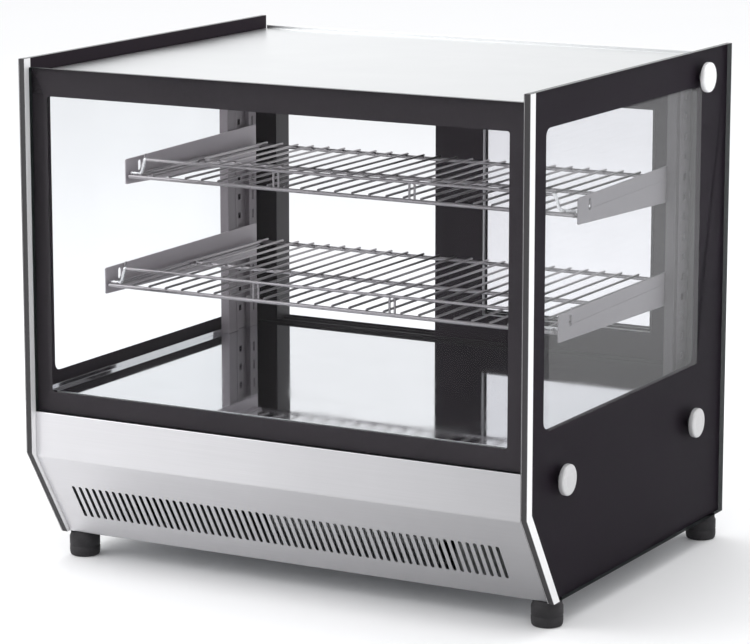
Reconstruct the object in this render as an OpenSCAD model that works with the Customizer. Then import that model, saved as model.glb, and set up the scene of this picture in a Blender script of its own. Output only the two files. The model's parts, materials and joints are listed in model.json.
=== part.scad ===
// Countertop refrigerated bakery display case: flat front glass, two wire
// shelves, two sliding rear doors, cooling unit in the base.
// X runs across the case, Y from the front glass to the rear doors, Z up.
// The origin is on the counter, under the middle of the case.

/* [Case] */
// Width over the edge trims of the two side glasses
case_w = 683; // [660:1:760]
// Depth from the front trims to the rear edge
case_d = 566; // [560:1:600]
// Height from the counter to the top of the side glasses
case_h = 632; // [625:1:680]
// Height of the rubber feet
foot_h = 32; // [20:1:32]
// Height at which the front bends back into the slope
bend_z = 148; // [140:1:155]
// Y of the lower end of the slope
toe_y = -210; // [-215:1:-205]

/* [Glass] */
// Thickness of the side and front glass
glass_t = 6; // [5:0.5:6]
// Height of the deck, the floor of the display space
deck_z = 222; // [218:1:226]
// Corner radius of the clear windows
window_r = 10; // [4:1:14]
// Diameter of the round glass fixings
knob_d = 37; // [30:1:40]

/* [Shelves] */
// Height of the upper wire shelf
upper_z = 467.5; // [460:0.5:475]
// Height of the lower wire shelf
lower_z = 337.5; // [330:0.5:345]
// Y of the front rail of the upper shelf
upper_front = -98; // [-110:1:-90]
// Y of the front rail of the lower shelf
lower_front = -147; // [-155:1:-135]
// Number of wires across a shelf
wire_n = 26; // [16:1:28]

/* [Rear doors] */
// Width of each sliding door
door_w = 359; // [330:1:365]
// How far the inner door stands to the right of the middle
door_rest = 299.2; // [290:0.1:299.2]

/* [Vent] */
// Number of slots in the front vent
slot_n = 61; // [20:1:61]
// Distance from one slot to the next
slot_pitch = 9.73; // [9.5:0.01:9.75]
// Width of a slot
slot_w = 4; // [3:0.1:4.4]

/* [Hidden] */
$fn = 48;

hw = case_w/2;            // 341.5: outer faces of the edge trims
hd = case_d/2;            // 283: front trims and rear edge
in_x = hw - 8.5;          // 333: inner faces of the edge trims
glass_x = hw - 1 - glass_t; // inner face of the side glass
front_y = -hd + 9;       // outer face of the front glass
slope_dy = toe_y + hd;    // run of the slope
slope_dz = bend_z - foot_h;
slope_len = sqrt(slope_dy*slope_dy + slope_dz*slope_dz);
slope_a = atan2(slope_dy, slope_dz);   // lean of the slope from the vertical
kz = (1 - cos(slope_a))/sin(slope_a);  // how fast the bend rises per mm of inset
front_top = case_h - 11;  // top of the front glass
panel_top = 199.5;        // top of the steel front panel
panel_bend = bend_z - 5;  // its bend
top_z = case_h - 17;      // the top panel
jamb_x = in_x - 33.5;     // inner faces of the door jambs
bolts = [[203, case_h - 34], [187, 167], [-183, 175]];
// Y bands of the two door planes and the track ribs
in_y = [251, 265]; out_y = [267, 281];
ribs_y = [[248.6, 250.6], [265.4, 266.6], [281.4, 283]];
door_z = [deck_z + 2.2, case_h - 32];
cz_y = 277;               // outer face of the rear panel
ctl_z = 132;              // height of the control panel
pan_y = toe_y + 11.4;     // front edge of the base pan
foot_y = [-188, 258];     // front and rear feet

// ---------- helpers ----------
// YZ outline extruded along X
module yz(x0, x1) translate([x0,0,0]) rotate([90,0,90]) linear_extrude(height=x1-x0) children();
// XZ outline extruded along Y
module xz(y0, y1) translate([0,y1,0]) rotate([90,0,0]) linear_extrude(height=y1-y0) children();
module box(x0,x1,y0,y1,z0,z1) translate([x0,y0,z0]) cube([x1-x0,y1-y0,z1-z0]);
module rod_x(d,x0,x1,y,z) translate([x0,y,z]) rotate([0,90,0]) cylinder(d=d,h=x1-x0);
module rod_y(d,y0,y1,x,z) translate([x,y1,z]) rotate([90,0,0]) cylinder(d=d,h=y1-y0);
module rod_z(d,z0,z1,x,y) translate([x,y,z0]) cylinder(d=d,h=z1-z0);
// Rod between two points
module rod(a, b, d) {
  v = b - a; l = norm(v);
  translate(a) rotate([0, acos(v[2]/l), atan2(v[1], v[0])]) cylinder(d=d, h=l);
}
// Rod along a list of points, with a ball a little larger than the rod at each corner
module bent_rod(p, d, ball=1.12) {
  for (i = [0:len(p)-2]) rod(p[i], p[i+1], d);
  for (i = [1:len(p)-2]) translate(p[i]) sphere(d=d*ball);
}
module rect(a0,a1,b0,b1) translate([a0,b0]) square([a1-a0,b1-b0]);
module rrect(a0,a1,b0,b1,r) {
  rect(a0+r,a1-r,b0,b1); rect(a0,a1,b0+r,b1-r);
  for (a=[a0+r,a1-r], b=[b0+r,b1-r]) translate([a,b]) circle(r=r);
}
module ring(a0,a1,b0,b1,m) difference() { rect(a0,a1,b0,b1); rect(a0+m,a1-m,b0+m,b1-m); }
module both() { children(); mirror([1,0,0]) children(); }
// Front line of the side, inset by d
function line(d) = [[-hd+d, case_h], [-hd+d, bend_z + kz*d], [toe_y + d/cos(slope_a), foot_h]];
module band(d0, d1) polygon(concat(line(d0), [line(d1)[2], line(d1)[1], line(d1)[0]]));
module side_outline(d) polygon([[hd,case_h], line(d)[0], line(d)[1], line(d)[2], [hd,foot_h]]);
function panel_y(z) = z > panel_bend ? front_y : front_y + (panel_bend - z)*slope_dy/slope_dz;

// ---------- base ----------
module base_pan() color("silver") difference() {
  union() {
    box(-330,330,pan_y,cz_y-1.8,foot_h,foot_h+1.2);
    both() box(328.8,330,pan_y,cz_y-1.8,foot_h+1.2,foot_h+20);
    box(-328.8,328.8,pan_y,pan_y+1.2,foot_h+1.2,foot_h+8);
    box(-328.8,328.8,cz_y-3,cz_y-1.8,foot_h+1.2,foot_h+20);
  }
  for (x=[-322,322], y=foot_y) rod_z(8.6,foot_h-1,foot_h+3,x,y);
  for (x=[-322,0,322]) rod_y(4.4,cz_y-4,cz_y-1,x,44);
  for (i=[0:7]) box(-140+i*22,-128+i*22,-20,60,foot_h-1,foot_h+3);
}
module chassis_sides() color("gray") both() difference() {
  yz(331.2, 332.4) polygon([[-262,198],[-262,panel_bend+4],[-194,foot_h+2],[cz_y-2,foot_h+2],[cz_y-2,deck_z-23],[247,deck_z-23],[247,deck_z-0.5],[-262,deck_z-0.5]]);
  for (b=[bolts[1],bolts[2]]) rod_x(9,330,334,b[0],b[1]);
}
// Bent stainless front: upright band, slope with the vent slots, folded ends
slope_lo = 50; slope_hi = 114;
module front_panel() color("gainsboro") {
  w = in_x - 0.4; t = 1.2; dy = t/cos(slope_a);
  // upright band with its top ledge, and the slope above the vent
  yz(-w, w) polygon([[front_y+7,panel_top],[front_y,panel_top],[front_y,panel_bend],
    [panel_y(slope_hi),slope_hi],[panel_y(slope_hi)+dy,slope_hi],
    [front_y+t,panel_bend+kz*t],[front_y+t,panel_top-t],[front_y+7,panel_top-t]]);
  // slope below the vent with its bottom ledge
  yz(-w, w) polygon([[panel_y(slope_lo),slope_lo],[panel_y(foot_h),foot_h],[panel_y(foot_h)+5,foot_h],
    [panel_y(foot_h)+5,foot_h+t],[panel_y(foot_h+t)+dy,foot_h+t],[panel_y(slope_lo)+dy,slope_lo]]);
  // slotted band
  l = (slope_hi - slope_lo)/cos(slope_a);
  s0 = -5 - (slot_n-1)/2*slot_pitch;
  translate([0, panel_y(slope_lo), slope_lo]) rotate([90 + slope_a, 0, 0]) translate([0,0,-t])
    linear_extrude(height=t) difference() {
      rect(-w, w, -0.4, l+0.4);
      for (i=[0:slot_n-1]) translate([s0 + i*slot_pitch, 0]) {
        rect(-slot_w/2, slot_w/2, 13, 61);
        translate([0,13]) circle(d=slot_w, $fn=16);
        translate([0,61]) circle(d=slot_w, $fn=16);
      }
    }
}
module rear_panel() color("silver") xz(cz_y-1.2, cz_y) difference() {
  rect(-in_x+0.4, in_x-0.4, foot_h+2, deck_z-22.2);
  for (r=[0:9]) for (c=[-220,-130,-40,50]) {
    rect(c-33, c+33, 60+r*11, 64.5+r*11);
  }
  rect(141, 291, ctl_z-24, ctl_z+24);
  translate([-290, 70]) circle(d=16.6);
  for (p=rear_screw) translate(p) circle(d=4.4);
}
rear_screw = [[-322,44],[-322,190],[0,44],[0,190],[322,44],[322,190]];
module rear_panel_screws() color("lightgray") for (p=rear_screw) difference() {
  union() { rod_y(8,cz_y,cz_y+1.8,p[0],p[1]); rod_y(3.8,cz_y-10,cz_y,p[0],p[1]); }
  box(p[0]-0.5,p[0]+0.5,cz_y+0.9,cz_y+3,p[1]-2.6,p[1]+2.6);
  box(p[0]-2.6,p[0]+2.6,cz_y+0.9,cz_y+3,p[1]-0.5,p[1]+0.5);
}
// Rubber foot with a moulded-in stud and a washer face
module feet() color([0.15,0.14,0.15]) for (x=[-322,322], y=foot_y) translate([x,y,0]) {
  rotate_extrude() polygon([[0,0],[15.5,0],[17.6,0.8],[18.6,2.6],[19,6],[19,24],[18.2,foot_h-6],[17.4,foot_h-4.6],[17.4,foot_h],[0,foot_h]]);
  rod_z(8,foot_h-2,foot_h+10,0,0);
}

// ---------- cold well ----------
module deck() color("whitesmoke") {
  box(-328,328,-250,243,deck_z-1.2,deck_z);
  both() box(326.8,328,-250,243,deck_z,deck_z+5);
  box(-328,328,-250,-248.8,deck_z-14,deck_z-1.2);
  box(-328,328,241.8,243,deck_z-14,deck_z-1.2);
}
// Foamed tray under the deck: the air duct, open upwards to the front and rear slots
module duct_tray() color("lightgray") difference() {
  box(-326,326,-263.4,246,158,deck_z-1.2);
  box(-300,300,-264,240.5,170,deck_z);
  box(-328,328,-264,-247.5,deck_z-16,deck_z);
  box(-328,328,240.5,248,deck_z-16,deck_z);
  rod_z(14.2,150,175,210,205);
  rod_z(12,150,175,-284,120);
}
// Front wall of the duct, behind the front glass
module air_baffle() color("lightgray") box(-326,326,-265.4,-263.4,158,deck_z-1.2);

// ---------- glass ----------
module bolt_holes(d) for (b=bolts) rod_x(d,glass_x-4,hw+2,b[0],b[1]);
module side_glass() color([0.8,0.86,0.88,0.3]) difference() {
  yz(glass_x, hw-1) side_outline(3);
  bolt_holes(10);
}
module side_glass_right() side_glass();
module side_glass_left() mirror([1,0,0]) side_glass();
module side_glass_borders() color([0.22,0.2,0.22]) both() difference() {
  yz(glass_x-0.5, glass_x) difference() { side_outline(3); rrect(-228.5,192,241,case_h-45,window_r); }
  bolt_holes(12);
}
module edge_trims() color("white") both() {
  yz(hw-0.9, hw) band(0,13);
  yz(in_x, in_x+0.9) band(0,13);
  yz(in_x+0.9, hw-0.9) band(1.6,2.8);
}
module edge_inserts() color([0.2,0.19,0.2]) both() yz(in_x+0.9, hw-0.9) band(0.4,1.6);
module glass_bolts() color("white") both() for (b=bolts) translate([hw-1,b[0],b[1]]) rotate([0,90,0]) {
  rotate_extrude($fn=64) polygon([[0,0],[knob_d/2-1,0],[knob_d/2,1],[knob_d/2,5.6],[knob_d/2-1.4,7],[0,7]]);
  translate([0,0,-12]) cylinder(d=8,h=12);
}
module front_glass() color([0.8,0.86,0.88,0.3])
  box(-in_x+0.4, in_x-0.4, front_y, front_y+glass_t, panel_top, front_top);
module front_glass_border() color([0.2,0.19,0.2])
  xz(front_y+glass_t, front_y+glass_t+0.5) difference() {
    rect(-in_x+0.4, in_x-0.4, panel_top, front_top);
    rrect(-311.5,308.5,225,case_h-45,3);
  }

// ---------- top ----------
module top_panel() color("white") {
  box(-in_x+0.6, in_x-0.6, front_y+glass_t+0.5, hd, top_z-1, top_z);
  box(-in_x+0.6, in_x-0.6, front_y+glass_t+0.5, front_y+glass_t+1.7, top_z, top_z+5);
  box(-in_x+0.6, in_x-0.6, hd-1, hd, top_z-1, top_z+4);
}
module ceiling_liner() color("whitesmoke") {
  box(-317,317,-236,247.6,case_h-38,case_h-37);
  both() box(316,317,-236,247.6,case_h-37,case_h-26);
}
module front_header() color("silver") difference() {
  box(-in_x+0.6, in_x-0.6, front_y+glass_t+0.5, -237, case_h-42, top_z-1);
  box(-in_x, in_x, front_y+glass_t+2.5, -239, case_h-34, top_z-3);
}
module top_side_rails() color("silver") both() difference() {
  box(318, in_x-0.6, -236.5, 247.6, case_h-40, top_z-1);
  box(320, in_x-2.6, -237, 248, case_h-38, top_z-3);
  rod_x(9,328,334,bolts[0][0],bolts[0][1]);
}
module lamp_housing() color("white") difference() {
  box(-290,290,-261,-241,case_h-46,case_h-42);
  box(-286,286,-258,-244,case_h-47,case_h-43.4);
}
module lamp_diffuser() color([1,1,0.92]) yz(-285.8,285.8)
  polygon([[-257.8,case_h-43.6],[-257.8,case_h-45.6],[-255,case_h-46.6],[-247,case_h-46.6],[-244.2,case_h-45.6],[-244.2,case_h-43.6]]);

// ---------- rear door frame ----------
module door_sill() color([0.24,0.22,0.24]) {
  box(-in_x+0.4,in_x-0.4,247.6,hd,deck_z-22,deck_z);
  for (r=ribs_y) box(-jamb_x+0.2,jamb_x-0.2,r[0],r[1],deck_z,deck_z+4.5);
}
module door_head() color([0.24,0.22,0.24]) {
  box(-in_x+0.6,in_x-0.6,248.2,hd,case_h-28,top_z-1);
  for (r=ribs_y) box(-jamb_x+0.2,jamb_x-0.2,r[0],r[1],case_h-44,case_h-28);
}
module door_jambs() color([0.24,0.22,0.24]) both() difference() {
  box(jamb_x,in_x-0.4,249,hd,deck_z,case_h-28);
  box(jamb_x+2,in_x-2.4,251,hd-2,deck_z-1,case_h-27);
}

// ---------- sliding doors ----------
door_top = 52; door_bot = 35.5; stile_l = 69; stile_r = 48;
module door_frame(x0, y) difference() {
  box(x0, x0+door_w, y[0], y[1], door_z[0], door_z[1]);
  box(x0+stile_l, x0+door_w-stile_r, y[0]-1, y[1]+1, door_z[0]+door_bot, door_z[1]-door_top);
  // rebate for the pane, from the rear
  box(x0+stile_l-6, x0+door_w-stile_r+6, y[1]-4.4, y[1]+1, door_z[0]+door_bot-6, door_z[1]-door_top+6);
  // finger pull, from the rear
  xz(y[1]-7, y[1]+1) rrect(x0+20, x0+38, 360, 460, 8);
  // track grooves that ride over the guide rail of the sill
  box(x0-1, x0+door_w+1, (y[0]+y[1])/2-1.4, (y[0]+y[1])/2+1.4, door_z[0]-1, door_z[0]+6);
}
module door_glass(x0, y)
  box(x0+stile_l-5.6, x0+door_w-stile_r+5.6, y[1]-4.2, y[1]-0.8, door_z[0]+door_bot-5.6, door_z[1]-door_top+5.6);
module door_bead(x0, y) xz(y[0]+0.2, y[1]-5.8)
  ring(x0+stile_l, x0+door_w-stile_r, door_z[0]+door_bot, door_z[1]-door_top, 1.2);
module door_gasket(x0, y) xz(y[1]-5.8, y[1]-4.2)
  ring(x0+stile_l, x0+door_w-stile_r, door_z[0]+door_bot, door_z[1]-door_top, 3.6);
module door_glides(x0, y) for (x=[x0+24, x0+door_w-54])
  for (s=[y[0]+0.6, y[1]-5.0]) box(x, x+30, s, s+4.4, deck_z+0.3, door_z[0]);
inner_x = door_rest - door_w;
outer_x = inner_x - 8.2;
module inner_door_frame() color([0.26,0.22,0.24]) door_frame(inner_x, in_y);
module inner_door_glass() color([0.8,0.86,0.88,0.3]) door_glass(inner_x, in_y);
module inner_door_bead() color("silver") door_bead(inner_x, in_y);
module inner_door_gasket() color([0.16,0.15,0.16]) door_gasket(inner_x, in_y);
module inner_door_glides() color("white") door_glides(inner_x, in_y);
module outer_door_frame() color([0.26,0.22,0.24]) door_frame(outer_x, out_y);
module outer_door_glass() color([0.8,0.86,0.88,0.3]) door_glass(outer_x, out_y);
module outer_door_bead() color("silver") door_bead(outer_x, out_y);
module outer_door_gasket() color([0.16,0.15,0.16]) door_gasket(outer_x, out_y);
module outer_door_glides() color("white") door_glides(outer_x, out_y);

// ---------- shelf supports ----------
up_slots = [for (i=[0:13]) 250 + i*25];
// Folded rear post: front flange, raised line, sunk face, slotted strip
module uprights() color("gray") both() difference() {
  translate([0,0,deck_z+0.3]) linear_extrude(height=case_h-41-deck_z) {
    rect(314,315.2,149,170);
    rect(313.4,315.2,168,173);
    rect(313.4,321.2,171.8,173);
    rect(320,321.2,171.8,203.2);
    rect(313.4,321.2,202,203.2);
    rect(313.4,314.6,202,220);
    rect(313.4,326.4,218.8,220);
    rect(314,326.4,149,150.2);
  }
  for (z=up_slots) {
    box(312,316,209,213,z-6,z+6);
    box(318,323,184,192,z-4,z+4);
  }
}
// Tapered cantilever bracket with an inward ledge and two hooks at the rear
module bracket(y0, zf, zr, ztf, ztr, ledge, tabs, hole) {
  difference() {
    yz(311.6,313.1) polygon([[y0,zf],[y0,ztf],[y0+2,ztf+0.8],[217,ztr],[217,zr],[y0+2,zf-0.8]]);
    yz(311,314) rrect(y0+28, y0+35, hole-8, hole+6, 3);
    // pressed line along the plate
    yz(312.7,314) polygon([[y0+36,ledge+7],[215,ledge+12],[215,ledge+13.4],[y0+36,ledge+8.4]]);
  }
  box(302,311.6,y0+8,210,ledge-1.5,ledge);
  for (z=tabs) box(313.1,318,209.4,212.6,z-4,z+4);
}
module upper_brackets() color([0.62,0.6,0.62]) both()
  bracket(upper_front, 457.6, 445, 487.5, 494, upper_z-2.8, [450,475], 478);
module lower_brackets() color([0.62,0.6,0.62]) both()
  bracket(lower_front, 326.5, 317, 357.5, 361, lower_z-2.8, [325,350], 348);

// ---------- wire shelves ----------
rear_rail = 214;
module shelf(y0, z) {
  for (y=[y0, (y0+rear_rail)/2, rear_rail]) rod_x(5, -308, 308, y, z);
  for (s=[-1,1]) rod_y(4, y0, rear_rail, s*303, z);
  for (i=[0:wire_n-1]) rod_y(3, y0-0.6, rear_rail+5, (i-(wire_n-1)/2)*590/(wire_n-1), z+3.2);
}
// Guard along the front edge, its posts, and the hooks at the brackets
module shelf_guard(y0, z) {
  rod_x(4, -283.5, 283.5, y0, z+22.6);
  for (x=[-94,94]) rod_z(3, z, z+22.6, x, y0);
  for (s=[-1,1]) {
    bent_rod([[s*282,y0,z+22.6],[s*289,y0,z]], 3.6);
    rod_x(3, min(s*306,s*310), max(s*306,s*310), y0+3.9, z);
    bent_rod([[s*309.4,y0+3,z],[s*309.4,y0+26,z],[s*309.4,y0+36,z+11],[s*309.4,y0+42,z+22]], 2.6);
  }
}
module shelf_upper() color([0.5,0.48,0.49]) shelf(upper_front, upper_z);
module shelf_upper_guard() color([0.6,0.58,0.6]) shelf_guard(upper_front, upper_z);
module shelf_lower() color([0.5,0.48,0.49]) shelf(lower_front, lower_z);
module shelf_lower_guard() color([0.6,0.58,0.6]) shelf_guard(lower_front, lower_z);

// ---------- cooling unit ----------
comp = [-215, 150];
comp_feet = [for (x=[-62,62], y=[-42,42]) [comp[0]+x, comp[1]+y]];
module compressor() color([0.14,0.14,0.15]) difference() {
  union() {
    translate([comp[0],comp[1],49]) rotate_extrude($fn=64)
      polygon([[0,0],[44,0],[52,6],[56,16],[56,44],[58,45],[58,49],[56,50],[56,74],[52,88],[42,97],[26,101],[0,102]]);
    box(comp[0]-74,comp[0]+74,comp[1]-54,comp[1]+54,46,49);
    box(comp[0]+50,comp[0]+82,comp[1]-24,comp[1]+24,66,112);
  }
  for (p=comp_feet) rod_z(10.4,44,52,p[0],p[1]);
}
module compressor_grommets() color([0.2,0.2,0.2]) for (p=comp_feet) {
  rod_z(20,foot_h+1.2,45.8,p[0],p[1]); rod_z(10,45.8,50,p[0],p[1]);
}
cond_x = [-60, 170];
module condenser() color("darkgray") {
  box(cond_x[0],cond_x[1],-168,-134,foot_h+4,146);
  for (x=[cond_x[0]-1.5,cond_x[1]]) box(x,x+1.5,-172,-130,foot_h+1.2,148);
  for (s=[0:3]) for (y=[-160,-142]) {
    rod_x(8,cond_x[0]-8,cond_x[1]+8,y,50+s*27);
  }
}
fan_c = [55, -100, 92];
module condenser_fan() color([0.2,0.2,0.21]) translate(fan_c) rotate([90,0,0]) difference() {
  union() {
    cylinder(d=34,h=16,center=true);
    for (i=[0:4]) rotate(i*72) translate([0,15,0]) rotate([0,28,0]) translate([-13,0,-1]) cube([26,32,2]);
  }
  translate([0,0,-20]) cylinder(d=5.1,h=26);
}
module condenser_fan_motor() color("silver") {
  // cowl plate with its round opening
  xz(-118,-112) difference() {
    rect(cond_x[0]+40,cond_x[1]-40,foot_h+1.2,148);
    translate([fan_c[0],fan_c[2]]) circle(r=52);
  }
  rod_y(44,fan_c[1]+16,fan_c[1]+46,fan_c[0],fan_c[2]);
  rod_y(5,fan_c[1]-4,fan_c[1]+16,fan_c[0],fan_c[2]);
  box(fan_c[0]-14,fan_c[0]+14,fan_c[1]+20,fan_c[1]+40,foot_h+1.2,74);
  for (s=[-1,1]) box(fan_c[0]+s*58-3,fan_c[0]+s*58+3,-112,fan_c[1]+34,foot_h+1.2,foot_h+10);
  box(fan_c[0]-61,fan_c[0]+61,fan_c[1]+26,fan_c[1]+34,foot_h+1.2,foot_h+10);
}
module evaporator() color("darkgray") {
  box(-210,150,-60,40,174,208);
  for (x=[-212,150]) box(x,x+2,-64,44,170,210);
  for (s=[0:3]) for (z=[183,199]) rod_x(8,-222,162,-46+s*24,z);
}
blow = [-20, -130, 190];
module blower_rotor() color([0.2,0.2,0.21]) translate(blow) rotate([0,90,0]) difference() {
  union() {
    for (z=[-150,-2,146]) translate([0,0,z]) cylinder(d=34,h=4);
    for (i=[0:11]) rotate(i*30) translate([14,0,-150]) rotate(40) cube([1,4,300]);
    for (z=[-150,138]) translate([0,0,z]) cylinder(d=12,h=12);
  }
  for (z=[-152,140]) translate([0,0,z]) cylinder(d=5.1,h=12);
}
module blower_motor() color("silver") {
  for (s=[0,1]) box(blow[0]-158+s*312,blow[0]-154+s*312,-152,-108,170,212);
  rod_x(5,blow[0]-154,blow[0]-142,blow[1],blow[2]);
  rod_x(5,blow[0]+142,blow[0]+158,blow[1],blow[2]);
  rod_x(36,blow[0]+158,blow[0]+190,blow[1],blow[2]);
  box(blow[0]-154,blow[0]+154,-152,-150.5,170,178);
}
module drip_tray() color([0.5,0.5,0.52]) difference() {
  box(90,310,90,250,foot_h+1.4,62);
  box(92,308,92,248,foot_h+3.4,63);
}
// Copper lines with brazed elbows, and the drain tube
module refrigerant_pipes() color("peru") {
  bent_rod([[-215,91.9,96],[-215,60,96],[-90,60,96],[-90,-142,96],[-90,-142,131],[-69,-142,131]], 6.4, 1.3);
  bent_rod([[-215,208.2,96],[-215,236,96],[-284,236,96],[-284,120,96],[-284,120,199],[-284,26,199],[-223,26,199]], 9, 1.25);
  difference() { rod_z(14,63,169,210,205); rod_z(11,62,171,210,205); }
}

// ---------- controls ----------
btn = [[232,ctl_z+9],[252,ctl_z+9],[242,ctl_z-9]];
rk = [168, 277, ctl_z];   // rocker pivot
module control_bezel() color([0.13,0.13,0.14]) difference() {
  union() {
    xz(cz_y, cz_y+2.6) rrect(136,296,ctl_z-29,ctl_z+29,5);
    xz(cz_y-14, cz_y) rect(142,290,ctl_z-23,ctl_z+23);
  }
  box(187.8,224.2,cz_y+1,cz_y+4,ctl_z-12.2,ctl_z+12.2);
  for (b=btn) rod_y(8.4,cz_y-8,cz_y+4,b[0],b[1]);
  box(rk[0]-6.3,rk[0]+6.3,cz_y-10,cz_y+4,ctl_z-12.6,ctl_z+12.6);
  rod_x(2.5,rk[0]-8,rk[0]+8,rk[1],rk[2]);
}
module control_display() color([0.25,0.06,0.06]) box(188,224,cz_y+1,cz_y+2.3,ctl_z-12,ctl_z+12);
module button(b) color("dimgray") {
  rod_y(8,cz_y-5,cz_y+4,b[0],b[1]);
}
module button_up() button(btn[0]);
module button_down() button(btn[1]);
module button_set() button(btn[2]);
// Mains rocker, resting in its on position
module power_rocker() color([0.1,0.35,0.16]) translate([rk[0],rk[1],rk[2]]) rotate([-8,0,0]) {
  yz(-6,6) polygon([[-4,-7],[1.5,-11],[4,-11],[2.4,0],[4,11],[1.5,11],[-4,7]]);
  translate([-7.6,0,0]) rotate([0,90,0]) cylinder(d=2.4,h=15.2);
}
module cable_gland() color([0.12,0.12,0.12]) difference() {
  union() {
    rod_y(16,cz_y-16,cz_y,-290,70);
    translate([-290,cz_y+2.5,70]) rotate([90,0,0]) cylinder(d=24,h=2.5,$fn=48);
    translate([-290,cz_y+5.6,70]) rotate([90,0,0]) cylinder(d=19,h=4,$fn=48);
    translate([-290,cz_y-3,70]) rotate([90,0,0]) cylinder(d=22,h=4,$fn=6);
  }
  rod_y(7.2,cz_y-20,cz_y+8,-290,70);
}

base_pan();
chassis_sides();
front_panel();
rear_panel();
rear_panel_screws();
feet();
deck();
duct_tray();
air_baffle();
front_glass();
front_glass_border();
side_glass_left();
side_glass_right();
side_glass_borders();
edge_trims();
edge_inserts();
glass_bolts();
top_panel();
ceiling_liner();
front_header();
top_side_rails();
lamp_housing();
lamp_diffuser();
door_sill();
door_head();
door_jambs();
inner_door_frame();
inner_door_glass();
inner_door_bead();
inner_door_gasket();
inner_door_glides();
outer_door_frame();
outer_door_glass();
outer_door_bead();
outer_door_gasket();
outer_door_glides();
uprights();
upper_brackets();
lower_brackets();
shelf_upper();
shelf_upper_guard();
shelf_lower();
shelf_lower_guard();
compressor();
compressor_grommets();
condenser();
condenser_fan();
condenser_fan_motor();
evaporator();
blower_rotor();
blower_motor();
drip_tray();
refrigerant_pipes();
control_bezel();
control_display();
button_set();
button_up();
button_down();
power_rocker();
cable_gland();
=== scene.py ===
import bpy, bmesh, json, math
import numpy as np
from mathutils import Vector, Matrix


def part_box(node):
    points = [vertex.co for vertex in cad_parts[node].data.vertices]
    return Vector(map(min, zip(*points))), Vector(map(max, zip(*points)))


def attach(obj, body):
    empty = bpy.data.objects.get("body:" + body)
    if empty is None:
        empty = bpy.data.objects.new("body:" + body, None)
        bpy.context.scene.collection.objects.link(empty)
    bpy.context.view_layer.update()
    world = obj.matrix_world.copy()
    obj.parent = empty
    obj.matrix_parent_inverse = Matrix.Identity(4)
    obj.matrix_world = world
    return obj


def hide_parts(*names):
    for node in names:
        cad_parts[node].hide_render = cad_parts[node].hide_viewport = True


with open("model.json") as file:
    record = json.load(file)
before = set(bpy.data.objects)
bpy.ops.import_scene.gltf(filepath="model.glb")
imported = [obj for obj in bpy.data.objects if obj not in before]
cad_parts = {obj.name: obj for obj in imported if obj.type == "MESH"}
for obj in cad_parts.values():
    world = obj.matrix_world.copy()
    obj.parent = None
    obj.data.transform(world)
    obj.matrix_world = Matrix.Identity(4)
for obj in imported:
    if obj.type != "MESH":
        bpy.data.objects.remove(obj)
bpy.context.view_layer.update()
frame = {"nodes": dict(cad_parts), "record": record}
NODES = frame["nodes"]
BODY = {n: b for b, ns in frame["record"]["behaviour"]["bodies"].items() for n in ns}
SLOT = {s["node"]: s["material_slot"] for s in frame["record"]["subparts"]}
scene = bpy.context.scene

# ---------------------------------------------------------------- camera
YAW, PITCH = math.radians(28.964), math.radians(11.343)
fwd = Vector((-math.sin(YAW) * math.cos(PITCH), math.cos(YAW) * math.cos(PITCH), -math.sin(PITCH)))
right = Vector((math.cos(YAW), math.sin(YAW), 0))
up = right.cross(fwd)
cam_data = bpy.data.cameras.new("camera")
cam = bpy.data.objects.new("camera", cam_data)
scene.collection.objects.link(cam)
cam.matrix_world = Matrix(((right.x, up.x, -fwd.x, 1.94174), (right.y, up.y, -fwd.y, -3.52727),
                           (right.z, up.z, -fwd.z, 1.10214), (0, 0, 0, 1)))
cam_data.sensor_width = 36.0
cam_data.lens = 3312.404 / 750.0 * 36.0
cam_data.clip_end = 100.0
scene.camera = cam

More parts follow.
